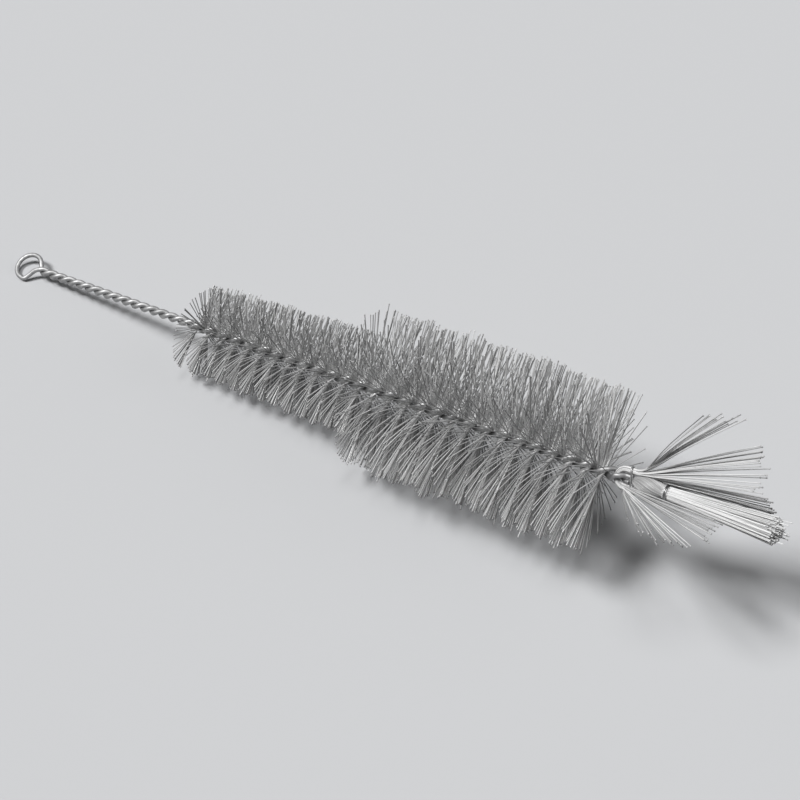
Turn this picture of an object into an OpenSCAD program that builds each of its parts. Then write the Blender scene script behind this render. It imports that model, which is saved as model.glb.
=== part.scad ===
// Bottle brush for laboratory glassware: a folded, twisted wire that grips nylon bristles,
// with a fan of long bristles and a white tuft bound at its tip.
// The origin is the centre of the finger loop, +X runs up the stem to the tip and +Z is up.
// The brush lies at rest: its weight is on the first bristles of its two parts and on the loop.

/* [Wire] */
// Diameter of the steel wire
wire_d = 2.3; // [1.6:0.1:2.8]
// Length of the bare twisted handle, from the finger loop to the first bristles
handle_length = 99; // [60:1:160]
// Turns of the twist in the handle
handle_turns = 8.46; // [5:0.01:12]
// Turns of the twist through the rear bristles
rear_turns = 6.3; // [4:0.01:9]
// Turns of the twist through the front bristles
front_turns = 7.34; // [4:0.01:10]
// Turn of the strands from the last bristles to the hank of the fan
open_turn = 0.32; // [0:0.01:0.5]
// Radius of the finger loop, to the middle of the wire
loop_r = 6.7; // [5:0.1:12]

/* [Bristles] */
// Length of the narrow rear part
rear_length = 100; // [60:1:140]
// Reach of the first rear bristles from the middle of the stem
rear_start_r = 21.6; // [15:0.1:25]
// Reach of the last rear bristles
rear_end_r = 25; // [18:0.5:30]
// Length of the wide front part
front_length = 125.5; // [80:0.5:160]
// Reach of the front bristles
front_r = 37; // [31:0.5:45]
// Thickness of one bristle
bristle_d = 0.75; // [0.6:0.05:1]
// How far the bristles flatten where they bear on the floor
floor_press = 1.2; // [0.5:0.1:2]

/* [Fan] */
// Thickness of one fan bristle
fan_bristle_d = 0.5; // [0.3:0.05:0.6]
// Length of the fan bristles in front of the neck binding
fan_length = 61; // [40:1:80]
// Angle between the stem and the outermost fan bristles
fan_open_angle = 51; // [35:1:60]
// Angle between the stem and the innermost fan bristles
fan_close_angle = 13; // [11:1:20]
// How far the bristles of one half of the fan spread round the stem, to each side
fan_spread = 66; // [40:1:80]
// Diameter of the wire of both bindings
binding_d = 0.65; // [0.5:0.05:0.9]

/* [Tip tuft] */
// Length of the folded head of the tuft
head_length = 14.5; // [12:0.5:20]
// Largest radius of the head
head_r = 4.2; // [3.3:0.1:5]
// Radius of the tuft in its binding
tuft_root_r = 2.75; // [2:0.05:3.1]
// Length of the tuft in front of its binding
tuft_length = 57; // [35:1:80]
// Radius of the tuft at its end
tuft_end_r = 6.6; // [5:0.1:9]

/* [Hidden] */

// Gap between pieces that lie against each other
clearance = 0.05;

// Stations along the stem
twist_x = loop_r + wire_d / 2;
rear_x = twist_x + handle_length;
front_x = rear_x + rear_length;
end_x = front_x + front_length;

// Rest on the floor: the stem leans back until a rim behind the front part touches
rear_lean = atan((front_r - rear_start_r) / (front_x - rear_x));
loop_lean = atan((front_r - wire_d / 2) / (front_x + loop_r));
lean = min(rear_lean, loop_lean);
stem_height = front_r * cos(lean) - floor_press - front_x * sin(lean);
loop_reach = loop_r + wire_d / 2;
loop_roll = asin(max(0, min(1, (stem_height - wire_d / 2 - clearance) / loop_reach)));

// Twist: two strands a half turn apart, closed up in the handle and spread by the bristles
closed_r = wire_d / 2 + clearance;
hexagon = 6;
bristle_step = 0.82 * bristle_d;
grip_r = wire_d / 2 + bristle_d / 2 * cos(180 / hexagon) + clearance;
handle_rate = 360 * handle_turns / handle_length;
rear_rate = 360 * rear_turns / rear_length;
front_rate = 360 * front_turns / front_length;
start_angle = 90 + loop_roll;
spread_ahead = 3;

// The hank of fan bristles: folded through the open ends of the strands, in hexagonal packing
hank_rows = 5;
middle_row = (hank_rows - 1) / 2;
hank_pitch = 1.3 * fan_bristle_d;
hank_row = hank_pitch * sin(60);
hank_r = middle_row * hank_pitch + fan_bristle_d / 2;
hank_offset = closed_r + wire_d / 2 + hank_r + clearance;
open_r = wire_d / 2 + hank_r + 3 * clearance;
open_x = end_x + hank_r + 1.25 * wire_d;
fold_x = open_x + hank_offset;
neck_x = fold_x + wire_d + 1.5 * binding_d;
wire_end_x = neck_x - 1.5 * binding_d;
fan_roll = twist(end_x) - 360 * open_turn + 90;
close_turn = 0.25;

// In front of the neck the fan bristles rise over the head of the tuft and then run straight
release_x = neck_x + 1.5 * binding_d;
shoulder_x = neck_x + 0.3 * head_length;
shoulder_row = 1.8 * hank_row;
shoulder_turn = 0.3;
rise_shape = 1.35;

// Tip tuft
head_x = neck_x + 2 * binding_d;
tuft_x = head_x + head_length;
spread_x = tuft_x + 3.5 * binding_d;
stalk_r = hank_r + clearance;
dense_share = 0.2;
strand_rings = 4;
strand_d = 0.25 * tuft_root_r;
head_fullness = 0.8;

// Facets of the swept pieces
wire_sides = 8;
wire_rings = 10;
thin_sides = 5;
ring_swell = 1 / cos(180 / wire_rings);

// Angle of the first strand round the stem, at a station x: the twist is left-handed
function twist(x) = start_angle
    - handle_rate * (min(x, rear_x) - twist_x)
    - rear_rate * max(0, min(x, front_x) - rear_x)
    - front_rate * max(0, x - front_x);

// Distance of a strand's rings from the middle of the stem: the straight stretches between the
// rings pass at the true radius
function strand_r(x) = ring_swell
    * between(closed_r, grip_r, max(0, min(1, 1 + (x - rear_x) / spread_ahead)));

function around(x, r, angle) = [x, r * cos(angle), r * sin(angle)];
function unit(v) = v / norm(v);
function reversed(list) = [for (i = [len(list) - 1:-1:0]) list[i]];
function between(a, b, t) = a + (b - a) * t;

// A smooth curve through every point of p
function spline_point(a, b, c, d, t) =
    0.5 * (2 * b + (c - a) * t + (2 * a - 5 * b + 4 * c - d) * t ^ 2 + (3 * b - a - 3 * c + d) * t ^ 3);
function spline(p, steps) = concat(
    [for (i = [0:len(p) - 2], k = [0:steps - 1])
        spline_point(p[max(i - 1, 0)], p[i], p[i + 1], p[min(i + 2, len(p) - 1)], k / steps)],
    [p[len(p) - 1]]);

// A round bar swept along a path, with rings that turn with the path and never twist
function directions(p) = [for (i = [0:len(p) - 1]) unit(p[min(i + 1, len(p) - 1)] - p[max(i - 1, 0)])];
function square_to(v, t) = unit(v - (v * t) * t);
function normals(t) = [for (i = 0, n = square_to([0.3, 0.5, 0.8], t[0]);
    i < len(t); i = i + 1, n = i < len(t) ? square_to(n, t[i]) : n) n];

module bar(path, d, sides) {
    t = directions(path);
    n = normals(t);
    last = len(path) - 1;
    points = [for (i = [0:last], j = [0:sides - 1])
        path[i] + d / 2 * (cos(360 * j / sides) * n[i] + sin(360 * j / sides) * cross(t[i], n[i]))];
    walls = [for (i = [0:last - 1], j = [0:sides - 1], half = [0, 1])
        let (a = i * sides + j, b = i * sides + (j + 1) % sides)
        half == 0 ? [a, a + sides, b] : [b, a + sides, b + sides]];
    start_cap = [for (j = [0:sides - 1]) j];
    end_cap = [for (j = [sides - 1:-1:0]) last * sides + j];
    polyhedron(points, concat([start_cap], walls, [end_cap]));
}

// Everything is modelled along the X axis and then leans as it lies
module at_rest() {
    rotate([0, -lean, 0]) children();
}

module under_floor() {
    depth = 2 * front_r;
    translate([-loop_reach, -depth, -stem_height - depth])
        cube([end_x + 2 * depth, 2 * depth, depth]);
}

// Past the last bristles the strands part round the fold of the hank and close again between its
// legs: [station, distance from the middle of the stem, turn since the last bristles]
parting_keys = [
    [end_x, strand_r(end_x), 0],
    [between(end_x, open_x, 0.5), between(grip_r, open_r, 0.6), 0.5 * open_turn],
    [open_x, open_r, open_turn],
    [between(open_x, fold_x, 0.5), between(open_r, closed_r, 0.15), open_turn + 0.16 * close_turn],
    [fold_x, between(open_r, closed_r, 0.85), open_turn + 0.65 * close_turn],
    [wire_end_x, closed_r, open_turn + close_turn]];

// One strand, from the finger loop to its cut end, on one side of the stem (1 or -1)
function strand_point(x, r, side, turn = 0) = around(x, side * r, twist(min(x, end_x)) - 360 * turn);
function twisted(from, to, rate, side) =
    let (count = ceil((to - from) * rate / 360 * wire_rings))
    [for (i = [0:count - 1]) let (x = from + (to - from) * i / count) strand_point(x, strand_r(x), side)];
function strand(side) = concat(
    twisted(twist_x, rear_x, handle_rate, side),
    twisted(rear_x, front_x, rear_rate, side),
    twisted(front_x, end_x, front_rate, side),
    spline([for (key = parting_keys) strand_point(key[0], key[1], side, key[2])], 3));

// The finger loop: a round bow that runs back to the stem in a straight leg
loop_from = 42;
loop_to = 262;
loop_step = 22;
function in_loop(x, y, z) =
    [x, y * cos(loop_roll) - z * sin(loop_roll), y * sin(loop_roll) + z * cos(loop_roll)];
function on_bow(angle, z) = in_loop(loop_r * cos(angle), loop_r * sin(angle), z);
loop_keys = concat(
    [strand_point(twist_x, closed_r, -1)],
    [on_bow(loop_from / 2, -closed_r / 2)],
    [for (a = [loop_from:loop_step:loop_to]) on_bow(a, 0)],
    [in_loop(0.2 * loop_r, -loop_r, 0)],
    [in_loop(0.48 * loop_r, -0.62 * loop_r, closed_r / 4)],
    [in_loop(0.8 * loop_r, -0.2 * loop_r, 0.8 * closed_r)],
    [strand_point(twist_x, closed_r, 1)]);

module stem_wire() {
    bow = spline(loop_keys, 3);
    path = concat(reversed(strand(-1)), [for (i = [1:len(bow) - 2]) bow[i]], strand(1));
    color("darkgray") at_rest() bar(path, wire_d, wire_sides);
}

// Bristles cross the stem between the strands and so stand on its twist
module bristles(from_x, to_x, from_r, to_r) {
    first = from_x + bristle_d / 2 + clearance;
    last = to_x - bristle_d / 2 - clearance;
    count = floor((last - first) / bristle_step);
    difference() {
        at_rest() for (i = [0:count]) {
            x = first + i * bristle_step;
            reach = between(from_r, to_r, i / count);
            translate([x, 0, 0]) rotate([twist(x), 0, 0])
                cylinder(h = 2 * reach, d = bristle_d, center = true, $fn = hexagon);
        }
        under_floor();
    }
}

module rear_bristles() {
    color("silver") bristles(rear_x, front_x, rear_start_r, rear_end_r);
}

module front_bristles() {
    color("gainsboro") bristles(front_x, end_x, front_r, front_r);
}

// Fan: each bristle is folded through the open ends of the strands and spreads at both ends
function row_reach(row) = hank_offset + (row - middle_row) * hank_row;
function last_in(row) = hank_rows - 1 - abs(row - middle_row);
function half_fan(row, across, side) =
    let (
        angle = between(fan_close_angle, fan_open_angle, row / (hank_rows - 1)),
        reach = row_reach(row),
        root_turn = atan(across / reach),
        tip_turn = fan_spread * across / (2 * hank_pitch),
        shoulder_r = max(reach + (shoulder_x - neck_x) * tan(angle), head_r + (row + 0.6) * shoulder_row),
        root_r = norm([reach, across]),
        tip_x = neck_x + fan_length * cos(angle),
        tip_r = reach + fan_length * sin(angle))
    concat(
        [around(fold_x, side * root_r, side * root_turn)],
        [for (t = [0, 0.35, 0.7])
            around(between(release_x, shoulder_x, t), side * between(root_r, shoulder_r, t ^ rise_shape),
                side * between(root_turn, tip_turn, shoulder_turn * t))],
        [for (t = [0, 0.15, 0.5, 1])
            around(between(shoulder_x, tip_x, t), side * between(shoulder_r, tip_r, t),
                side * between(root_turn, tip_turn, between(shoulder_turn, 1, sqrt(t))))]);
function fold(row, across) = [for (a = [30:30:150])
    [fold_x - row_reach(row) * sin(a), row_reach(row) * cos(a), across]];

module fan_bristles() {
    color("lightgray") at_rest() rotate([fan_roll, 0, 0])
        for (row = [0:hank_rows - 1], k = [0:last_in(row)]) {
            across = (k - last_in(row) / 2) * hank_pitch;
            path = concat(
                reversed(half_fan(row, across, 1)),
                fold(row, across),
                half_fan(row, across, -1));
            bar(path, fan_bristle_d, thin_sides);
        }
}

// Neck binding: wire drawn round both legs of the hank, with its end tucked forward
module neck_binding() {
    bend_r = hank_r + 2 * clearance + binding_d / 2;
    rise = binding_d + clearance;
    turns = [for (a = [-60:15:420])
        [neck_x + rise * (a + 60) / 360 - rise / 2,
            bend_r * cos(a) + (cos(a) > 0 ? 1 : -1) * hank_offset,
            bend_r * sin(a)]];
    color("dimgray") at_rest() rotate([fan_roll, 0, 0]) bar(turns, binding_d, thin_sides);
}

// Tip tuft: filaments folded into a round head, gripped in the neck and spread at their ends
module tip_tuft() {
    dense_x = tuft_x + tuft_length * dense_share;
    dense_r = between(tuft_root_r, tuft_end_r, dense_share);
    head = [for (t = [0:0.125:0.875])
        [between(between(stalk_r, tuft_root_r, t), head_r, sin(180 * t) ^ head_fullness),
            head_x + head_length * t]];
    color("white") at_rest() {
        rotate([0, 90, 0]) rotate_extrude()
            polygon(concat(
                [[0, neck_x - binding_d], [stalk_r, neck_x - binding_d]],
                head,
                [[tuft_root_r, tuft_x], [tuft_root_r, spread_x], [dense_r, dense_x], [0, dense_x]]));
        for (ring = [0:strand_rings], k = [0:max(0, 6 * ring - 1)]) {
            share = ring / strand_rings;
            turn = ring == 0 ? 0 : 360 * k / (6 * ring);
            inner = (dense_r - strand_d) * share;
            outer = (tuft_end_r - strand_d / 2) * share;
            slope = atan((outer - inner) / (tuft_length * (1 - dense_share)));
            translate(around(dense_x, inner, turn)) rotate([turn, 0, 0]) rotate([0, 0, slope])
                rotate([0, 90, 0]) translate([0, 0, -strand_d])
                    cylinder(h = tuft_length * (1 - dense_share) - strand_d * (k % 3), d = strand_d);
        }
    }
}

// Tuft binding: two turns of wire round the front of the head
module tuft_binding() {
    bend_r = tuft_root_r + 2 * clearance + binding_d / 2;
    rise = binding_d + clearance;
    turns = [for (a = [0:18:720]) around(tuft_x + binding_d + rise * a / 360, bend_r, a)];
    color("gray") at_rest() bar(turns, binding_d, thin_sides);
}

stem_wire();
rear_bristles();
front_bristles();
fan_bristles();
neck_binding();
tip_tuft();
tuft_binding();
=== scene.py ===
"""Looks of the bottle brush: fine nylon filaments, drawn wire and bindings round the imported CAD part.

Every piece is built from the same driving sizes as the CAD part, in metres, in the part's own frame.
The origin is the centre of the finger loop. Pieces are worked out round a stem along the X axis, and
at_rest() leans them as the brush lies on the floor.
"""

import math

import bpy
import numpy as np
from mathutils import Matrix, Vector


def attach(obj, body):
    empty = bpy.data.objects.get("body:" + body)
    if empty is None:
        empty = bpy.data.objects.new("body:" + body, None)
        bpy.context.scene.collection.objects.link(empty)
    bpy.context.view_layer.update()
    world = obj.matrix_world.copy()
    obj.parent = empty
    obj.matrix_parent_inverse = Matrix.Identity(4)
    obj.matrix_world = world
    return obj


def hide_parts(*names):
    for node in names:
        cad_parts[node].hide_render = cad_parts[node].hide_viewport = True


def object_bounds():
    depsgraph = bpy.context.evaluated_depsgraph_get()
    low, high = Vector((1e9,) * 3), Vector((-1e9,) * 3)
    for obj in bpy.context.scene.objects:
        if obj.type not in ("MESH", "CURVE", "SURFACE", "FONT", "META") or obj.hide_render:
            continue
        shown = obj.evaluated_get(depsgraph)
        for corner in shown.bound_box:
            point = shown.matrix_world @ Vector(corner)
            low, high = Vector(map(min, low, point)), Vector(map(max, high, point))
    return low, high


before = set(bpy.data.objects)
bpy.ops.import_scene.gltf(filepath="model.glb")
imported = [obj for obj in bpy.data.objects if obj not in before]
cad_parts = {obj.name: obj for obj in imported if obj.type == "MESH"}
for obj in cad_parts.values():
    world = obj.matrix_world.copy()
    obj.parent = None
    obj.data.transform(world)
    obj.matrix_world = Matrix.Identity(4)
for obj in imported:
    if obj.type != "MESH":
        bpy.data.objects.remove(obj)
cad_box = [list(corner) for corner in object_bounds()]

# ---------------------------------------------------------------- sizes, in metres and degrees
MM = 0.001
FLOOR_Z = cad_box[0][2]

# Wire. Its strands lie closed in the handle and spread to grip the filaments. In front of the windings
# they open round the hank and close again, making OPEN_TURN and CLOSE_TURN turns meanwhile. The cut ends
# are rounded off a little
WIRE_D = 2.3 * MM
CLEARANCE = 0.05 * MM
HANDLE_LENGTH, HANDLE_TURNS = 99 * MM, 8.46
REAR_TURNS, FRONT_TURNS, OPEN_TURN, CLOSE_TURN = 6.3, 7.34, 0.32, 0.25
LOOP_R = 6.7 * MM
SPREAD_AHEAD = 3 * MM
CUT_LENGTH, CUT_SHARE = 0.06 * WIRE_D, 0.86

# Windings. The CAD part's rods set how far apart the strands are. The first and last filaments stand a
# little inside the ends of their winding, and every tip is flared to FILAMENT_KNOB times its filament
REAR_LENGTH, REAR_START_R, REAR_END_R = 100 * MM, 21.6 * MM, 25 * MM
FRONT_LENGTH, FRONT_R = 125.5 * MM, 37 * MM
WINDING_EDGE, STEP_EDGE = 0.3 * MM, 0.2 * MM
CAD_BRISTLE_D = 0.75 * MM
FLOOR_PRESS = 1.2 * MM
FILAMENT_D, FILAMENT_KNOB = 0.46 * MM, 1.5
FILAMENTS_PER_M = 5400

# Hank, fan and bindings. The CAD part's bars set how thick the hank is. BINDING_STEP is the angle from
# one ring of a binding's mesh to the next
CAD_FAN_D = 0.5 * MM
HANK_PITCH = 1.3 * CAD_FAN_D
FAN_FREE_LENGTH = 62 * MM
FAN_D, FAN_KNOB = 0.45 * MM, 1.75
BINDING_D = 0.65 * MM
BINDING_TILT, TAIL_LENGTH = 1.3 * MM, 5.5 * MM
BINDING_STEP = 7.5

# Tip tuft. The head swells to HEAD_R, and is the fuller towards its ends the lower HEAD_FULLNESS is
HEAD_LENGTH, HEAD_R, HEAD_FULLNESS = 14.5 * MM, 4.2 * MM, 0.8
HEAD_FILAMENTS, HEAD_FILAMENT_D = 96, 0.28 * MM
TUFT_ROOT_R, TUFT_LENGTH, TUFT_END_R = 2.75 * MM, 57 * MM, 6.6 * MM
TUFT_FILAMENTS, TUFT_D, TUFT_KNOB = 260, 0.36 * MM, 1.7

# ---------------------------------------------------------------- places that follow from them
TWIST_X = LOOP_R + WIRE_D / 2
REAR_X = TWIST_X + HANDLE_LENGTH
FRONT_X = REAR_X + REAR_LENGTH
END_X = FRONT_X + FRONT_LENGTH
LEAN = min(math.atan((FRONT_R - REAR_START_R) / REAR_LENGTH),
           math.atan((FRONT_R - WIRE_D / 2) / (FRONT_X + LOOP_R)))
STEM_HEIGHT = FRONT_R * math.cos(LEAN) - FLOOR_PRESS - FRONT_X * math.sin(LEAN)
LOOP_ROLL = math.asin((STEM_HEIGHT - WIRE_D / 2 - CLEARANCE) / (LOOP_R + WIRE_D / 2))
CLOSED_R = WIRE_D / 2 + CLEARANCE
GRIP_R = WIRE_D / 2 + CAD_BRISTLE_D / 2 * math.cos(math.radians(30)) + CLEARANCE
HANDLE_RATE = 360 * HANDLE_TURNS / HANDLE_LENGTH
REAR_RATE = 360 * REAR_TURNS / REAR_LENGTH
FRONT_RATE = 360 * FRONT_TURNS / FRONT_LENGTH
START_ANGLE = 90 + math.degrees(LOOP_ROLL)
HANK_R = 2 * HANK_PITCH + CAD_FAN_D / 2
HANK_OFFSET = CLOSED_R + WIRE_D / 2 + HANK_R + CLEARANCE
OPEN_R = WIRE_D / 2 + HANK_R + 3 * CLEARANCE
OPEN_X = END_X + HANK_R + 1.25 * WIRE_D
FOLD_X = OPEN_X + HANK_OFFSET
NECK_X = FOLD_X + WIRE_D + 1.5 * BINDING_D
WIRE_END_X = NECK_X - 1.5 * BINDING_D
HEAD_X = NECK_X + 2 * BINDING_D
TUFT_X = HEAD_X + HEAD_LENGTH
STALK_R = HANK_R + CLEARANCE

rng = np.random.default_rng(7)


def twist(x):
    """Angle of the first strand round the stem, in degrees: the twist is left-handed."""
    return (START_ANGLE - HANDLE_RATE * (np.minimum(x, REAR_X) - TWIST_X)
            - REAR_RATE * np.maximum(0, np.minimum(x, FRONT_X) - REAR_X)
            - FRONT_RATE * np.maximum(0, x - FRONT_X))


def around(x, r, angle):
    """The point at distance r from the stem's middle, at an angle in degrees from +Y towards +Z."""
    a = np.radians(angle)
    return np.stack(np.broadcast_arrays(x, r * np.cos(a), r * np.sin(a)), axis=-1)


def at_rest(points):
    """Leans points round a stem along the X axis back, to where they are as the brush lies."""
    x, y, z = np.moveaxis(np.asarray(points, float), -1, 0)
    c, s = math.cos(LEAN), math.sin(LEAN)
    return np.stack([x * c - z * s, y, x * s + z * c], axis=-1)


def unit(v):
    """Vectors scaled to length 1."""
    return v / np.maximum(np.linalg.norm(v, axis=-1, keepdims=True), 1e-12)


def spline(points, steps):
    """A smooth curve through every point, with steps points from each to the next."""
    p = np.asarray(points, float)
    out = []
    for i in range(len(p) - 1):
        a, b, c, d = p[max(i - 1, 0)], p[i], p[i + 1], p[min(i + 2, len(p) - 1)]
        for t in np.arange(steps) / steps:
            out.append(0.5 * (2 * b + (c - a) * t + (2 * a - 5 * b + 4 * c - d) * t ** 2
                              + (3 * b - a - 3 * c + d) * t ** 3))
    return np.array(out + [p[-1]])


# ---------------------------------------------------------------- meshes
def new_object(name, data):
    """An object in the scene that holds this mesh, camera or lamp."""
    obj = bpy.data.objects.new(name, data)
    bpy.context.scene.collection.objects.link(obj)
    return obj


def directions_across(paths):
    """Two directions square to each bar at each of its rings, which don't spin round the bar."""
    step = np.diff(paths, axis=1)
    tangent = unit(np.concatenate([step[:, :1], step[:, 1:] + step[:, :-1], step[:, -1:]], axis=1))
    normal = np.empty_like(paths)
    reference = np.eye(3)[np.argmin(np.abs(tangent[:, 0]), axis=1)]
    for ring in range(paths.shape[1]):
        ahead = tangent[:, ring]
        reference = unit(reference - np.sum(reference * ahead, axis=1, keepdims=True) * ahead)
        normal[:, ring] = reference
    return normal, np.cross(tangent, normal)


def sweep(name, paths, radii, sides, material):
    """One object of many round bars. paths is (bars, rings, 3), and radii fits (bars, rings).

    Attributes for the materials: bar_at is (millimetres along, across, across), different on each bar,
    shade is each bar's own number from 0 to 1, and share is how far along the bar it is, from 0 to 1.
    """
    paths = at_rest(paths)
    bars, rings = paths.shape[:2]
    radii = np.broadcast_to(radii, (bars, rings))
    normal, side = directions_across(paths)
    turn = 2 * np.pi * np.arange(sides) / sides
    ring = np.cos(turn)[:, None] * normal[:, :, None] + np.sin(turn)[:, None] * side[:, :, None]
    points = paths[:, :, None] + radii[:, :, None, None] * ring

    at = np.arange(bars * rings * sides).reshape(bars, rings, sides)
    beside = np.roll(at, -1, axis=2)
    quads = np.stack([at[:, :-1], beside[:, :-1], beside[:, 1:], at[:, 1:]], axis=-1).reshape(-1, 4)
    caps = np.concatenate([at[:, 0, ::-1], at[:, -1]])
    corners = np.concatenate([quads.ravel(), caps.ravel()])
    sizes = np.concatenate([np.full(len(quads), 4), np.full(len(caps), sides)])
    mesh = bpy.data.meshes.new(name)
    mesh.vertices.add(points.size // 3)
    mesh.vertices.foreach_set("co", points.ravel())
    mesh.loops.add(len(corners))
    mesh.loops.foreach_set("vertex_index", corners)
    mesh.polygons.add(len(sizes))
    mesh.polygons.foreach_set("loop_start", np.concatenate([[0], np.cumsum(sizes)[:-1]]))
    mesh.polygons.foreach_set("use_smooth", np.ones(len(sizes), bool))
    mesh.update(calc_edges=True)

    step_lengths = np.linalg.norm(np.diff(paths, axis=1), axis=2)
    along = np.concatenate([np.zeros((bars, 1)), np.cumsum(step_lengths, axis=1)], axis=1)
    shade = rng.random(bars)
    where = np.empty((bars, rings, sides, 3))
    where[..., 0] = (along / MM)[:, :, None] + 100 * shade[:, None, None]
    where[..., 1] = np.cos(turn)
    where[..., 2] = np.sin(turn)
    mesh.attributes.new("bar_at", "FLOAT_VECTOR", "POINT").data.foreach_set("vector", where.ravel())
    number_vertices(mesh, "shade", np.repeat(shade, rings * sides))
    number_vertices(mesh, "share", np.repeat(along / along[:, -1:], sides, axis=1))
    layout_map(mesh, along, sides)
    mesh.materials.append(material)
    obj = new_object(name, mesh)
    mesh.validate()
    return obj


def number_vertices(mesh, name, values):
    """An attribute that gives each vertex of the mesh a number."""
    numbers = values.ravel().astype(np.float32)
    mesh.attributes.new(name, "FLOAT", "POINT").data.foreach_set("value", numbers)


def layout_map(mesh, along, sides):
    """A UV map with a strip of its own for each bar."""
    margin_u, margin_v, side_width = 0.05, 0.03, 0.4 * MM
    bars, rings = along.shape
    longest = along[:, -1].max()
    columns = max(1, min(bars, int(math.sqrt(bars * longest / (sides * side_width)))))
    rows = math.ceil(bars / columns)
    column, row = np.arange(bars) % columns, np.arange(bars) // columns
    j = np.arange(sides)
    low_u = (column[:, None, None] + margin_u + (1 - 2 * margin_u) * j / sides) / columns
    high_u = (column[:, None, None] + margin_u + (1 - 2 * margin_u) * (j + 1) / sides) / columns
    v = (row[:, None] + margin_v + (1 - 2 * margin_v) * along / longest) / rows
    low_v, high_v = v[:, :-1, None], v[:, 1:, None]
    shape = (bars, rings - 1, sides)
    us = np.stack([np.broadcast_to(a, shape) for a in (low_u, high_u, high_u, low_u)], axis=-1)
    vs = np.stack([np.broadcast_to(a, shape) for a in (low_v, low_v, high_v, high_v)], axis=-1)
    walls = np.stack([us, vs], axis=-1).reshape(-1, 2)
    # The two cut faces of a bar are small discs at the ends of its strip
    disc_r, disc_off = 0.01, 0.005
    turn = 2 * np.pi * j / sides
    disc = np.stack([np.cos(turn), np.sin(turn)], axis=-1) * disc_r
    ends = []
    for ring, order, off in ((0, -1, -disc_off), (-1, 1, disc_off)):
        centre = np.stack([(column + 0.5) / columns, v[:, ring] + off / rows], axis=-1)
        ends.append((centre[:, None] + disc[::order] / [columns, rows]).reshape(-1, 2))
    uv = np.concatenate([walls] + ends)
    mesh.uv_layers.new(name="OFBake").data.foreach_set("uv", uv.ravel().astype(np.float32))


def lathe(name, profile, sides, material):
    """A closed turned body round the stem: profile is a list of (radius, x)."""
    r, x = np.array(profile).T
    turn = 360 * np.arange(sides) / sides
    points = at_rest(around(x[:, None], r[:, None], turn[None])).reshape(-1, 3)
    at = np.arange(len(points)).reshape(len(r), sides)
    beside = np.roll(at, -1, axis=1)
    faces = np.stack([at[:-1], at[1:], beside[1:], beside[:-1]], axis=-1).reshape(-1, 4).tolist()
    faces += [at[0].tolist(), at[-1, ::-1].tolist()]
    mesh = bpy.data.meshes.new(name)
    mesh.from_pydata(points.tolist(), [], faces)
    mesh.shade_smooth()
    mesh.materials.append(material)
    return new_object(name, mesh)


# ---------------------------------------------------------------- materials
def new_material(name, **values):
    """A material, its nodes, its links and its Principled shader with the given socket values."""
    material = bpy.data.materials.new(name)
    material.use_nodes = True
    nodes, links = material.node_tree.nodes, material.node_tree.links
    shader = nodes["Principled BSDF"]
    for socket, value in values.items():
        shader.inputs[socket.replace("_", " ")].default_value = value
    return material, nodes, links, shader


def attribute(nodes, name):
    """A node that reads one of the attributes that sweep() writes."""
    node = nodes.new("ShaderNodeAttribute")
    node.attribute_name = name
    return node


def noise(nodes, links, vector, detail, roughness, scale):
    """Noise from 0 to 1, with a scale for each of the vector's directions."""
    mapping = nodes.new("ShaderNodeMapping")
    mapping.inputs["Scale"].default_value = scale
    links.new(vector, mapping.inputs["Vector"])
    texture = nodes.new("ShaderNodeTexNoise")
    texture.inputs["Scale"].default_value = 1.0
    texture.inputs["Detail"].default_value = detail
    texture.inputs["Roughness"].default_value = roughness
    links.new(mapping.outputs["Vector"], texture.inputs["Vector"])
    return texture.outputs["Fac"]


def ramp(nodes, links, fac, stops):
    """A colour that runs through the stops, each a place from 0 to 1 and a colour."""
    node = nodes.new("ShaderNodeValToRGB")
    while len(node.color_ramp.elements) < len(stops):
        node.color_ramp.elements.new(0.5)
    for element, (place, colour) in zip(node.color_ramp.elements, stops):
        element.position = place
        element.color = (*colour, 1)
    links.new(fac, node.inputs["Fac"])
    return node.outputs["Color"]


def span(nodes, links, value, low, high):
    """Maps a value from 0..1 to low..high."""
    node = nodes.new("ShaderNodeMapRange")
    node.inputs["To Min"].default_value = low
    node.inputs["To Max"].default_value = high
    links.new(value, node.inputs["Value"])
    return node.outputs["Result"]


def multiply(nodes, links, a, b):
    """The product of two colours."""
    node = nodes.new("ShaderNodeMix")
    node.data_type = "RGBA"
    node.blend_type = "MULTIPLY"
    node.inputs["Factor"].default_value = 1.0
    links.new(a, node.inputs["A"])
    links.new(b, node.inputs["B"])
    return node.outputs["Result"]


def bump(nodes, links, shader, height, distance, strength):
    """Relief on the shader's surface, as deep as distance where height is 1."""
    node = nodes.new("ShaderNodeBump")
    node.inputs["Distance"].default_value = distance
    node.inputs["Strength"].default_value = strength
    links.new(height, node.inputs["Height"])
    links.new(node.outputs["Normal"], shader.inputs["Normal"])


def grey(v):
    """A neutral colour."""
    return (v, v, v)


def steel(name, light, dark, rough):
    """Drawn wire: fine lines along it and blotches of duller, rougher zinc."""
    material, nodes, links, shader = new_material(name, Metallic=1.0)
    at = attribute(nodes, "bar_at").outputs["Vector"]
    lines = noise(nodes, links, at, detail=4.0, roughness=0.6, scale=(0.08, 7, 7))
    blotch = noise(nodes, links, at, detail=3.0, roughness=0.6, scale=(0.55, 0.8, 0.8))
    tone = ramp(nodes, links, blotch, [(0.32, grey(dark)), (0.68, grey(light))])
    drawn = ramp(nodes, links, lines, [(0.3, grey(0.72)), (0.62, grey(1.0))])
    links.new(multiply(nodes, links, tone, drawn), shader.inputs["Base Color"])
    links.new(span(nodes, links, blotch, rough + 0.12, rough - 0.08), shader.inputs["Roughness"])
    bump(nodes, links, shader, lines, distance=0.02 * MM, strength=0.6)
    return material


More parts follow.
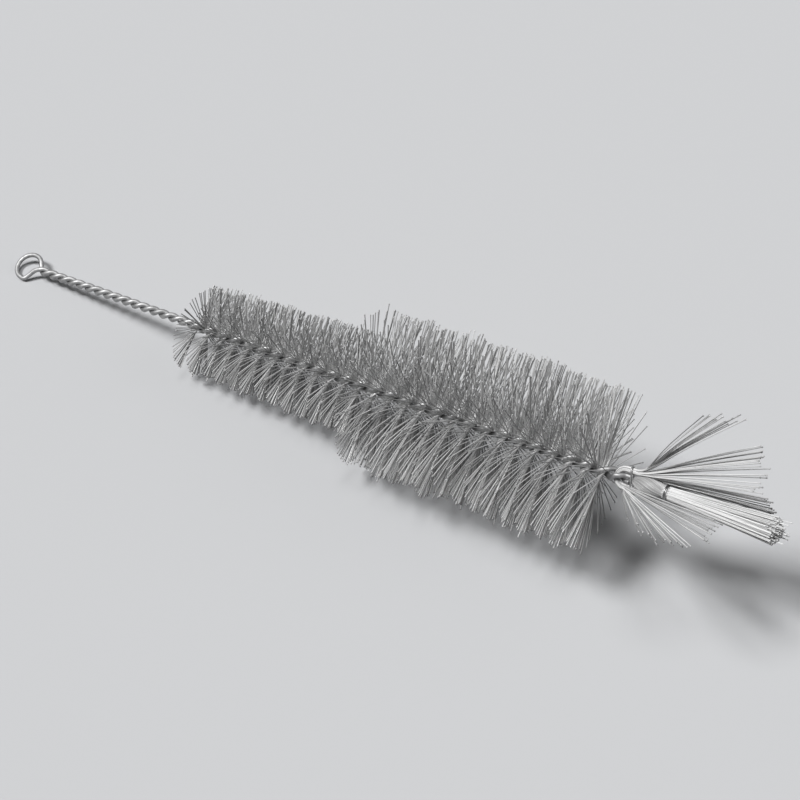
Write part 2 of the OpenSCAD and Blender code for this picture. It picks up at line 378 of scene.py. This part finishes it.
def nylon(name, light, dark, rough, painted_cut_shade=None):
    """Extruded filament: each a little different in tone, faintly cloudy along its length.

    Given a tone for its cut faces, those faces are painted that dark as painted shade, which dims the
    bright dots the lamps put on the tips. Just behind them it is palest, a painted highlight towards the
    tips, and it is a little darker towards its middle, painted shade.
    """
    material, nodes, links, shader = new_material(name, IOR=1.53)
    at = attribute(nodes, "bar_at").outputs["Vector"]
    shade = attribute(nodes, "shade").outputs["Fac"]
    tone = ramp(nodes, links, shade, [(0.0, grey(dark)), (1.0, grey(light))])
    cloud = noise(nodes, links, at, detail=2.0, roughness=0.5, scale=(0.25, 0.3, 0.3))
    clouded = ramp(nodes, links, cloud, [(0.3, grey(0.86)), (0.7, grey(1.0))])
    tone = multiply(nodes, links, tone, clouded)
    if painted_cut_shade is not None:
        # Painted light along the filament: painted shade on the cut faces and towards the middle, and a
        # painted highlight just behind the cut faces
        cut_shade, tip_highlight, middle_shade = grey(painted_cut_shade), grey(0.85), grey(0.82)
        stops = [(0.0, cut_shade), (0.012, tip_highlight), (0.4, middle_shade), (0.6, middle_shade), (0.988, tip_highlight), (1.0, cut_shade)]
        share = attribute(nodes, "share").outputs["Fac"]
        tone = multiply(nodes, links, tone, ramp(nodes, links, share, stops))
    links.new(tone, shader.inputs["Base Color"])
    links.new(span(nodes, links, cloud, rough - 0.06, rough + 0.06), shader.inputs["Roughness"])
    return material


# ---------------------------------------------------------------- stem wire
def strand_point(x, r, side, turn=0.0):
    """A point of the strand on that side of the stem, turned on by so many turns past the windings."""
    return around(x, side * r, twist(np.minimum(x, END_X)) - 360 * turn)


def strand(side):
    """One strand, from the finger loop to its cut end, on one side of the stem (1 or -1)."""
    rings_per_turn = 26
    count = int((END_X - TWIST_X) * REAR_RATE / 360 * rings_per_turn)
    x = np.linspace(TWIST_X, END_X, count)
    spread = np.clip(1 + (x - REAR_X) / SPREAD_AHEAD, 0, 1)
    spread = spread * spread * (3 - 2 * spread)
    twisted = strand_point(x, CLOSED_R + (GRIP_R - CLOSED_R) * spread, side)
    # Past the windings the strands part round the hank and close again between its legs. Each point has
    # its share of the opening or closing, and of the turn that goes with it
    opening, closing = OPEN_R - GRIP_R, CLOSED_R - OPEN_R
    ahead = [
        strand_point(END_X, GRIP_R, side),
        strand_point((END_X + OPEN_X) / 2, GRIP_R + 0.6 * opening, side, 0.5 * OPEN_TURN),
        strand_point(OPEN_X, OPEN_R, side, OPEN_TURN),
        strand_point((OPEN_X + FOLD_X) / 2, OPEN_R + 0.15 * closing, side, OPEN_TURN + 0.16 * CLOSE_TURN),
        strand_point(FOLD_X, OPEN_R + 0.85 * closing, side, OPEN_TURN + 0.65 * CLOSE_TURN),
        strand_point(WIRE_END_X, CLOSED_R, side, OPEN_TURN + CLOSE_TURN)]
    return np.concatenate([twisted, spline(ahead, 7)[1:]])


def in_loop(x, y, z=0.0):
    """A point in the plane of the finger loop, or z off it, rolled as the loop is."""
    c, s = math.cos(LOOP_ROLL), math.sin(LOOP_ROLL)
    return np.array([x, y * c - z * s, y * s + z * c])


def on_loop(angle, z=0.0):
    """A point on the round of the finger loop, or z off its plane."""
    a = math.radians(angle)
    return in_loop(LOOP_R * math.cos(a), LOOP_R * math.sin(a), z)


def stem_wire(material):
    """One length of wire: back along one strand, round the finger loop and out along the other."""
    # The bow leaves one strand, goes round the loop and comes back to the other
    bow = [strand_point(TWIST_X, CLOSED_R, -1), on_loop(21, -CLOSED_R / 2)]
    bow += [on_loop(angle) for angle in range(42, 263, 22)]
    bow += [in_loop(0.2 * LOOP_R, -LOOP_R), in_loop(0.48 * LOOP_R, -0.62 * LOOP_R, CLOSED_R / 4),
            in_loop(0.8 * LOOP_R, -0.2 * LOOP_R, 0.8 * CLOSED_R), strand_point(TWIST_X, CLOSED_R, 1)]
    path = np.concatenate([strand(-1)[::-1], spline(bow, 7)[1:-1], strand(1)])
    ends = path[[0, -1]] + unit(path[[0, -1]] - path[[1, -2]]) * CUT_LENGTH
    path = np.concatenate([ends[:1], path, ends[1:]])
    radii = np.full(len(path), WIRE_D / 2)
    radii[[0, -1]] *= CUT_SHARE
    wire = sweep("stem_wire_drawn", path[None], radii, 16, material)
    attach(wire, "root")
    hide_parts("stem_wire")


# ---------------------------------------------------------------- filaments
# Every filament ends in a flared tip: places of its rings, in filament radii from the end
TIP_STEPS = np.array([3.4, 2.2, 0.9, 0.0])
TIP_LENGTH = 4.0
TIP_RINGS = len(TIP_STEPS)

# A filament is held square to the stem at first, and then takes up its lean
HELD_LENGTH, LEAN_LENGTH = 1.5 * MM, 1.6 * MM

# How filaments stray: how many neighbours drift together, how far they drift and how far each scatters,
# in degrees or in shares of the length. A few are longer than the rest. Where they cross the stem they
# scatter along it and to its sides
ANGLE_STRAY, LEAN_STRAY, LENGTH_STRAY = (9, 2.2, 3.6), (8, 1.8, 1.4), (11, 0.025, 0.015)
BEND_SCATTER, TURN_SCATTER = 0.6, 0.4
LONG_ONES, LONG_BY = 0.03, (1.03, 1.09)
STATION_SCATTER, CROSSING_SCATTER = 0.05 * MM, 0.19 * MM

# They are ruffled most on one side, and pressed away from another side and the side opposite to it, so
# that they stand closest together halfway between those
RUFFLED_SIDE, RUFFLED_LEAST, RUFFLED_MORE = 40, 0.35, 0.45
PRESSED_SIDE, PRESSED = 127, 14

# The last filaments have none in front of them, and fan out further than the strands turn
FREE_LENGTH, FREE_TURN, FREE_POWER = 3 * MM, 55, 1.5


def tip_radii(radius, knob):
    """Radii of the rings of a tip that flares to knob times the filament's radius."""
    return radius * np.array([1.0, 1 + 0.8 * (knob - 1), knob, 0.55 * knob])


def two_tipped(rings, radius, knob):
    """Radii of the rings of a filament that has a tip at both ends."""
    tip = tip_radii(radius, knob)
    return np.concatenate([tip[::-1], np.full(rings - 2 * TIP_RINGS, radius), tip])


def half_filaments(root, angle, lean, bend, turn, length, radius):
    """Paths of filaments that leave the stem square to it and then lean by an angle towards +X.

    root is each one's place, angle its direction round the stem, lean and bend its lean near the stem and
    what is added to it towards the tip, and turn what is added to angle towards the tip, all in degrees.
    """
    shares = np.array([0, 0.035, 0.07, 0.12, 0.2, 0.42, 0.7])
    s = np.concatenate([shares * (length - TIP_LENGTH * radius)[:, None],
                        length[:, None] - TIP_STEPS * radius], axis=1)
    mid = (s[:, 1:] + s[:, :-1]) / 2
    leaning = 1 - np.exp(-np.maximum(mid - HELD_LENGTH, 0) / LEAN_LENGTH)
    share = mid / length[:, None]
    tilt = np.radians(lean[:, None] * leaning + bend[:, None] * share)
    way = np.radians(angle[:, None] + turn[:, None] * share)
    steps = np.stack([np.sin(tilt), np.cos(tilt) * np.cos(way), np.cos(tilt) * np.sin(way)], axis=-1)
    steps *= np.diff(s, axis=1)[..., None]
    places = np.concatenate([np.zeros((len(length), 1, 3)), np.cumsum(steps, axis=1)], axis=1)
    return root[:, None] + places


def off_the_floor(root, angle, lean, bend, turn, length, radius, knob):
    """Half filaments, with those that would go under the floor bowed aside until they clear it."""
    tries, bow = 30, 2.5
    low = FLOOR_Z + 1.05 * knob * radius
    paths = half_filaments(root, angle, lean, bend, turn, length, radius)
    side = np.where(np.cos(np.radians(angle)) >= 0, 1.0, -1.0)
    for _ in range(tries):
        under = at_rest(paths)[:, :, 2].min(axis=1) < low
        if not under.any():
            break
        turn = np.where(under, turn + bow * side, turn)
        values = (a[under] for a in (root, angle, lean, bend, turn, length))
        paths[under] = half_filaments(*values, radius)
    return paths


def stray(count, neighbours, drift, scatter):
    """How far each filament strays: a drift that clumps neighbours, and a scatter of its own."""
    knots = rng.normal(0, drift, count // neighbours + 3)
    drifted = np.interp(np.arange(count) / neighbours + rng.random(), np.arange(len(knots)), knots)
    return drifted + rng.normal(0, scatter, count)


def winding(name, x, reach, material, replaced):
    """Filaments that cross the stem at the stations x, each as far out as reach on both sides."""
    count = len(x)
    radius = FILAMENT_D / 2
    free = np.clip(1 - (END_X - x) / FREE_LENGTH, 0, 1)
    strand_angle = twist(x) - FREE_TURN * free ** FREE_POWER
    root = around(x, rng.uniform(-CROSSING_SCATTER, CROSSING_SCATTER, count), strand_angle)
    halves = []
    for side in (1, -1):
        angle = strand_angle + 90 * side
        angle = angle + PRESSED * np.sin(np.radians(2 * (angle - PRESSED_SIDE)))
        towards_side = np.maximum(0, np.cos(np.radians(angle - RUFFLED_SIDE)))
        ruffled = RUFFLED_LEAST + RUFFLED_MORE * towards_side
        angle = angle + ruffled * stray(count, *ANGLE_STRAY)
        lean = ruffled * stray(count, *LEAN_STRAY)
        bend = ruffled * rng.normal(0, BEND_SCATTER, count)
        turn = rng.normal(0, TURN_SCATTER, count)
        length = reach * (1 + stray(count, *LENGTH_STRAY))
        length = np.where(rng.random(count) < LONG_ONES, length * rng.uniform(*LONG_BY, count), length)
        halves.append(off_the_floor(root, angle, lean, bend, turn, length, radius, FILAMENT_KNOB))
    paths = np.concatenate([halves[1][:, ::-1], halves[0][:, 1:]], axis=1)
    obj = sweep(name, paths, two_tipped(paths.shape[1], radius, FILAMENT_KNOB), 5, material)
    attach(obj, "root")
    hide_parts(replaced)


def stations(first, last):
    """Places along the stem of the filaments between two places."""
    count = int((last - first) * FILAMENTS_PER_M)
    return np.linspace(first, last, count) + rng.uniform(-STATION_SCATTER, STATION_SCATTER, count)


def brush(material):
    """The rear and front windings, the front one in two pieces."""
    x = stations(REAR_X + WINDING_EDGE, FRONT_X - STEP_EDGE)
    reach = REAR_START_R + (REAR_END_R - REAR_START_R) * (x - REAR_X) / REAR_LENGTH
    winding("rear_filaments", x, reach, material, "rear_bristles")
    x = stations(FRONT_X + STEP_EDGE, END_X - WINDING_EDGE)
    half = len(x) // 2
    winding("front_filaments_1", x[:half], FRONT_R, material, "front_bristles")
    winding("front_filaments_2", x[half:], FRONT_R, material, "front_bristles")


# ---------------------------------------------------------------- fan
# The ribbons that each half of the fan opens into: how many filaments, where the first and the last of
# them point, as angles from the stem and round it, and whether the binding holds them
UPPER_FAN = [
    (15, (53, 93), (42, 73), True),
    (13, (29, 67), (22, 72), True),
    (6, (20, 76), (17, 84), True),
    (22, (18, 98), (9, 335), True),
    (5, (20, 315), (36, 305), True)]
LOWER_FAN = [
    (18, (26, 133), (30, 147), False),
    (14, (36, 152), (48, 147), False),
    (12, (50, 149), (62, 141), False),
    (17, (18, 335), (38, 313), True)]
FAN_SCATTER, LENGTH_SCATTER, PLACE_SCATTER = 1.1, 0.02, 0.1 * MM
FAN_ROLL = float(twist(END_X)) - 360 * OPEN_TURN + 90

# The filaments of the hank are packed in rings, a little inside the hank that the CAD part has
FAN_RINGS, HANK_SLACK = 4, 0.19 * MM
FAN_PITCH = (HANK_R - HANK_SLACK) / FAN_RINGS

# Where filaments run straight between the fold and their opening, and the share of the free length in
# which they turn aside: first for those that the binding holds, then for those that leave behind it
BOUND_STRETCH, BOUND_EASE = (FOLD_X, NECK_X + BINDING_D), 0.13
LOOSE_STRETCH, LOOSE_EASE = (FOLD_X - 0.8 * MM, FOLD_X - 0.2 * MM), 0.035
FREE_SHARES = np.array([0.03, 0.06, 0.1, 0.16, 0.24, 0.36, 0.52, 0.74])


def hank_places():
    """Places of the filaments in a leg of the hank: hexagonal rings, as (outwards, across)."""
    corners = np.radians(60 * np.arange(7))
    corners = FAN_PITCH * np.stack([np.cos(corners), np.sin(corners)], axis=-1)
    places = [(0.0, 0.0)]
    for ring in range(1, FAN_RINGS + 1):
        for k in range(6 * ring):
            corner, part = divmod(k, ring)
            places.append((ring - part) * corners[corner] + part * corners[corner + 1])
    return np.array(places)


def in_fold(x, out, across):
    """Points in the directions of the hank: out from the stem to its first leg, and across."""
    c, s = math.cos(math.radians(FAN_ROLL)), math.sin(math.radians(FAN_ROLL))
    return np.stack(np.broadcast_arrays(x, out * c - across * s, out * s + across * c), axis=-1)


def towards(polar, azimuth):
    """The direction at an angle from the stem, and at an angle round it."""
    return around(math.cos(math.radians(polar)), math.sin(math.radians(polar)), azimuth)


def fan_half(places, ribbons, side):
    """The filaments of one leg of the hank, each as points from the fold to its tip."""
    ways = []
    for count, first, last, bound in ribbons:
        for share in np.linspace(0, 1, count):
            way = towards(*first) * (1 - share) + towards(*last) * share
            ways.append((unit(way + rng.normal(0, math.radians(FAN_SCATTER), 3)), bound))
    # The filaments on the outside of the leg open widest
    order = np.argsort(-places[:, 0] + rng.normal(0, PLACE_SCATTER, len(places)))
    ways.sort(key=lambda way: way[0][0])
    halves = [None] * len(places)
    for place, (way, bound) in zip(order, ways):
        length = FAN_FREE_LENGTH * rng.normal(1, LENGTH_SCATTER)
        (fold_x, open_x), ease = (BOUND_STRETCH, BOUND_EASE) if bound else (LOOSE_STRETCH, LOOSE_EASE)
        out, across = places[place]
        leg = in_fold(np.array([fold_x, (fold_x + open_x) / 2, open_x]), side * (HANK_OFFSET + out), across)
        aside = 1 - np.exp(-FREE_SHARES / ease)[:, None]
        straight = leg[-1] + np.outer(FREE_SHARES * length, [1.0, 0, 0])
        leaning = leg[-1] + np.outer(FREE_SHARES * length, way)
        tip = leg[-1] + np.outer(length - TIP_STEPS * FAN_D / 2, way)
        points = np.concatenate([leg, straight * (1 - aside) + leaning * aside, tip])
        halves[place] = clear_of_tuft(points)
    return np.array(halves)


def tuft_profile(x):
    """Radius of the tip tuft at the stations x."""
    t = np.clip((x - HEAD_X) / HEAD_LENGTH, 0, 1)
    head = STALK_R + (TUFT_ROOT_R - STALK_R) * t
    head = head + (HEAD_R - head) * np.sin(np.pi * t) ** HEAD_FULLNESS
    tuft = TUFT_ROOT_R + (TUFT_END_R - TUFT_ROOT_R) * np.clip((x - TUFT_X) / TUFT_LENGTH, 0, 1)
    return np.where(x < TUFT_X, head, tuft)


def clear_of_tuft(points):
    """Lifts the points of a fan filament off the tuft and its binding."""
    r = np.hypot(points[:, 1], points[:, 2])
    binding = np.abs(points[:, 0] - TUFT_X - BINDING_D) < 2 * BINDING_D
    least = tuft_profile(points[:, 0]) + FAN_D + np.where(binding, BINDING_D, 0)
    inside = (points[:, 0] > NECK_X) & (r < least)
    points[inside, 1:] *= (least[inside] / r[inside])[:, None]
    return points


def fan(material):
    """The filaments of the hank, folded through the eye and opened into both halves of the fan."""
    places = hank_places()
    upper = fan_half(places, UPPER_FAN, 1)
    lower = fan_half(places, LOWER_FAN, -1)
    a = np.radians(np.arange(22.5, 170, 22.5))  # round the fold, from one leg to the other
    reach = HANK_OFFSET + places[:, :1]
    bends = in_fold(FOLD_X - reach * np.sin(a), reach * np.cos(a), places[:, 1:])
    paths = np.concatenate([upper[:, ::-1], bends, lower], axis=1)
    # In the hank each filament takes up its share of the room
    radii = two_tipped(paths.shape[1], FAN_D / 2, FAN_KNOB)
    free = len(FREE_SHARES) + TIP_RINGS
    radii[free:-free] = FAN_PITCH / 2
    obj = sweep("fan_filaments", paths, radii, 8, material)
    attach(obj, "root")
    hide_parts("fan_bristles")


# ---------------------------------------------------------------- bindings
def neck_binding(material):
    """One turn of wire round both legs of the hank, with its cut end lying along the head."""
    bend_r = HANK_R + 2 * CLEARANCE + BINDING_D / 2
    outside = HANK_OFFSET + bend_r
    a = np.arange(180, 541, BINDING_STEP)
    c, s = np.cos(np.radians(a)), np.sin(np.radians(a))
    out = bend_r * c + np.where(c > 0, 1, -1) * HANK_OFFSET
    x = NECK_X + (BINDING_D + CLEARANCE) * (a - 360) / 360 - BINDING_TILT * out / outside
    turn = in_fold(x, out, bend_r * s)
    along, inwards = np.array([0.3, 0.6, 0.85, 1.0]), np.array([0.25, 0.7, 0.95, 1.0])
    tail_x = x[-1] + TAIL_LENGTH * along
    onto_head = outside - tuft_profile(tail_x) - 0.6 * BINDING_D
    tail = in_fold(tail_x, -outside + onto_head * inwards, 0.0)
    path = spline(np.concatenate([turn, tail]), 2)
    obj = sweep("neck_binding_wire", path[None], BINDING_D / 2, 12, material)
    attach(obj, "root")
    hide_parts("neck_binding")


def tuft_binding(material):
    """Two turns of wire round the front of the head."""
    bend_r = TUFT_ROOT_R + 2 * CLEARANCE + BINDING_D / 2
    a = np.arange(0, 721, BINDING_STEP)
    path = around(TUFT_X + BINDING_D + (BINDING_D + CLEARANCE) * a / 360, bend_r, a)
    obj = sweep("tuft_binding_wire", path[None], BINDING_D / 2, 12, material)
    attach(obj, "root")
    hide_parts("tuft_binding")


# ---------------------------------------------------------------- tip tuft
# The head's filaments wind round it by HEAD_TWIST, wave by HEAD_WAVE and lie at different depths
HEAD_TWIST, HEAD_WAVE, HEAD_DEPTHS = 85, 2.5, (0.75, 1.35)

# The tuft's filaments are shorter by up to one share at random and by up to another at its outside, and
# a few are longer. Their distance from the middle scatters by a share, and they drift round it
TUFT_SHORTER, TUFT_DOMED, TUFT_LONG_ONES, TUFT_LONG_BY = 0.07, 0.05, 0.06, 1.03
TUFT_R_SCATTER, TUFT_DRIFT = 0.05, 7
SHORTER_POWER, OPEN_POWER = 1.6, 1.1
TUFT_START_X = TUFT_X - 1.5 * MM
GOLDEN_ANGLE = 137.508


def tuft_core(material):
    """A closed body just inside the head's filaments, so that no light comes through them."""
    inside, rings, sides = 0.25 * MM, 26, 40
    x = np.concatenate([[NECK_X - BINDING_D], np.linspace(HEAD_X, TUFT_X + 6 * BINDING_D, rings)])
    profile = [(max(0.6 * STALK_R, float(tuft_profile(v)) - inside), v) for v in x]
    return lathe("tuft_core", profile, sides, material)


def head_filaments(material):
    """Filaments that wind part of the way round the head, from the neck to inside the tuft."""
    rings, sides = 15, 6
    share = np.linspace(0, 1, rings)
    x = HEAD_X - BINDING_D + (TUFT_X + 5 * BINDING_D - HEAD_X) * share
    start = 360 * np.arange(HEAD_FILAMENTS) / HEAD_FILAMENTS
    wave = rng.normal(0, HEAD_WAVE, (HEAD_FILAMENTS, 1)) * np.sin(np.pi * share)
    radius = HEAD_FILAMENT_D / 2
    r = tuft_profile(x) - radius * rng.uniform(*HEAD_DEPTHS, (HEAD_FILAMENTS, 1))
    paths = around(x, r, start[:, None] + wave + HEAD_TWIST * share)
    # They are thin in the neck, and have their full width before the middle of the head
    radii = np.clip(0.35 + 1.6 * share, 0, 1) * radius
    return sweep("tuft_head_filaments", paths, radii, sides, material)


def tuft_filaments(material):
    """The filaments of the tuft, close together in the binding and spread at their ragged ends."""
    k = np.arange(TUFT_FILAMENTS)
    spread = np.sqrt((k + 0.5) / TUFT_FILAMENTS)
    radius = TUFT_D / 2
    shorter = TUFT_SHORTER * rng.random(TUFT_FILAMENTS) ** SHORTER_POWER + TUFT_DOMED * spread ** 2
    long_one = rng.random(TUFT_FILAMENTS) < TUFT_LONG_ONES
    length = TUFT_LENGTH * np.where(long_one, TUFT_LONG_BY, 1 - shorter)
    shares = np.array([0, 0.08, 0.2, 0.36, 0.54, 0.74])
    s = np.concatenate([shares * (length[:, None] - TIP_LENGTH * radius),
                        length[:, None] - TIP_STEPS * radius], axis=1)
    opened = s / TUFT_LENGTH
    root_r = (TUFT_ROOT_R - 0.5 * radius) * spread[:, None]
    scattered = spread * (1 + rng.normal(0, TUFT_R_SCATTER, TUFT_FILAMENTS))
    tip_r = (TUFT_END_R - radius) * scattered[:, None]
    drift = rng.normal(0, TUFT_DRIFT, TUFT_FILAMENTS)[:, None] * opened
    r = root_r + (tip_r - root_r) * opened ** OPEN_POWER
    paths = around(TUFT_START_X + s, r, GOLDEN_ANGLE * k[:, None] + drift)
    radii = np.full(paths.shape[1], radius)
    radii[-TIP_RINGS:] = tip_radii(radius, TUFT_KNOB)
    return sweep("tuft_filaments", paths, radii, 6, material)


def tip_tuft(material, head_material):
    """The white tuft: filaments over a full head, gripped in the binding and spread at their ends."""
    for obj in (tuft_core(head_material), head_filaments(head_material), tuft_filaments(material)):
        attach(obj, "root")
        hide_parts("tip_tuft")


# ---------------------------------------------------------------- camera, light and floor
# The camera looks at a place on the stem, moved a little to the left and down. The floor and the world
# look pale, but throw only as much light as their second value
CAMERA_AZIMUTH, CAMERA_ELEVATION = 32.64, 48.19
CAMERA_DISTANCE, CAMERA_LENS = 1.0247, 101.2
AIM_X, AIM_LEFT, AIM_DOWN = 225 * MM, 0.93 * MM, 0.54 * MM
FLOOR_TONE, FLOOR_BOUNCE = (0.46, 0.465, 0.475), 0.06
FLOOR_HALF, FLOOR_GAP = 8.0, 0.02 * MM
WORLD_TONE, WORLD_LIGHT = (0.59, 0.595, 0.605), 0.04


def turn_to_part(obj, azimuth, elevation):
    """Turns a camera or lamp to look from this direction, and returns the direction."""
    a, e = math.radians(azimuth), math.radians(elevation)
    back = Vector((math.sin(a) * math.cos(e), -math.cos(a) * math.cos(e), math.sin(e)))
    obj.rotation_mode = "QUATERNION"
    obj.rotation_quaternion = (-back).to_track_quat("-Z", "Y")
    return back


def camera():
    """The camera at the photograph's viewing angle."""
    data = bpy.data.cameras.new("camera")
    data.lens = CAMERA_LENS
    data.sensor_width = 36
    data.clip_start, data.clip_end = 0.05, 30
    obj = new_object("camera", data)
    back = turn_to_part(obj, CAMERA_AZIMUTH, CAMERA_ELEVATION)
    right = Vector((0, 0, 1)).cross(back).normalized()
    target = Vector(at_rest([AIM_X, 0, 0])) - AIM_LEFT * right - AIM_DOWN * back.cross(right)
    obj.location = target + back * CAMERA_DISTANCE
    bpy.context.scene.camera = obj


def lamp(name, azimuth, elevation, breadth, strength):
    """A distant soft lamp, as many degrees across as breadth, so that the floor is lit evenly."""
    data = bpy.data.lights.new(name, "SUN")
    data.angle = math.radians(breadth)
    data.energy = strength
    obj = new_object(name, data)
    obj.location = turn_to_part(obj, azimuth, elevation)


def seen_directly(nodes, links):
    """1 where the camera, a reflection or a view through something looks, and 0 where light is gathered."""
    path = nodes.new("ShaderNodeLightPath")
    first = nodes.new("ShaderNodeMath")
    second = nodes.new("ShaderNodeMath")
    first.operation = second.operation = "MAXIMUM"
    links.new(path.outputs["Is Camera Ray"], first.inputs[0])
    links.new(path.outputs["Is Glossy Ray"], first.inputs[1])
    links.new(first.outputs[0], second.inputs[0])
    links.new(path.outputs["Is Transmission Ray"], second.inputs[1])
    return second.outputs[0]


def pale_floor():
    """A pale floor just under the part, which throws little light back up at it."""
    half, z = FLOOR_HALF, FLOOR_Z - FLOOR_GAP
    corners = [(-half, -half, z), (half, -half, z), (half, half, z), (-half, half, z)]
    mesh = bpy.data.meshes.new("floor")
    mesh.from_pydata(corners, [], [(0, 1, 2, 3)])
    material, nodes, links, shader = new_material("floor", Roughness=0.85, Specular_IOR_Level=0.2)
    tone = ramp(nodes, links, seen_directly(nodes, links), [(0.0, grey(FLOOR_BOUNCE)), (1.0, FLOOR_TONE)])
    links.new(tone, shader.inputs["Base Color"])
    mesh.materials.append(material)
    new_object("floor", mesh)


def pale_world():
    """A world as pale as the floor, which lights the part only a little."""
    world = bpy.data.worlds.new("world")
    bpy.context.scene.world = world
    world.use_nodes = True
    nodes, links = world.node_tree.nodes, world.node_tree.links
    tone = ramp(nodes, links, seen_directly(nodes, links), [(0.0, grey(WORLD_LIGHT)), (1.0, WORLD_TONE)])
    links.new(tone, nodes["Background"].inputs["Color"])


camera()
pale_floor()
lamp("key", azimuth=-50, elevation=58, breadth=16, strength=3.4)
lamp("top", azimuth=0, elevation=82, breadth=16, strength=1.05)
lamp("fill", azimuth=115, elevation=35, breadth=40, strength=0.4)
pale_world()
bpy.context.scene.view_settings.view_transform = "Standard"

# clear_nylon has painted shade on its cut faces and towards each filament's middle, and a painted highlight
# near its tips
clear_nylon = nylon("clear_nylon", light=0.96, dark=0.36, rough=0.2, painted_cut_shade=0.6)
white_nylon = nylon("white_nylon", light=0.84, dark=0.6, rough=0.35)
head_nylon = nylon("head_nylon", light=0.5, dark=0.26, rough=0.35)
drawn_steel = steel("drawn_steel", light=0.44, dark=0.27, rough=0.52)
binding_steel = steel("binding_steel", light=0.42, dark=0.22, rough=0.36)

stem_wire(drawn_steel)
brush(clear_nylon)
fan(clear_nylon)
tip_tuft(white_nylon, head_nylon)
neck_binding(binding_steel)
tuft_binding(binding_steel)
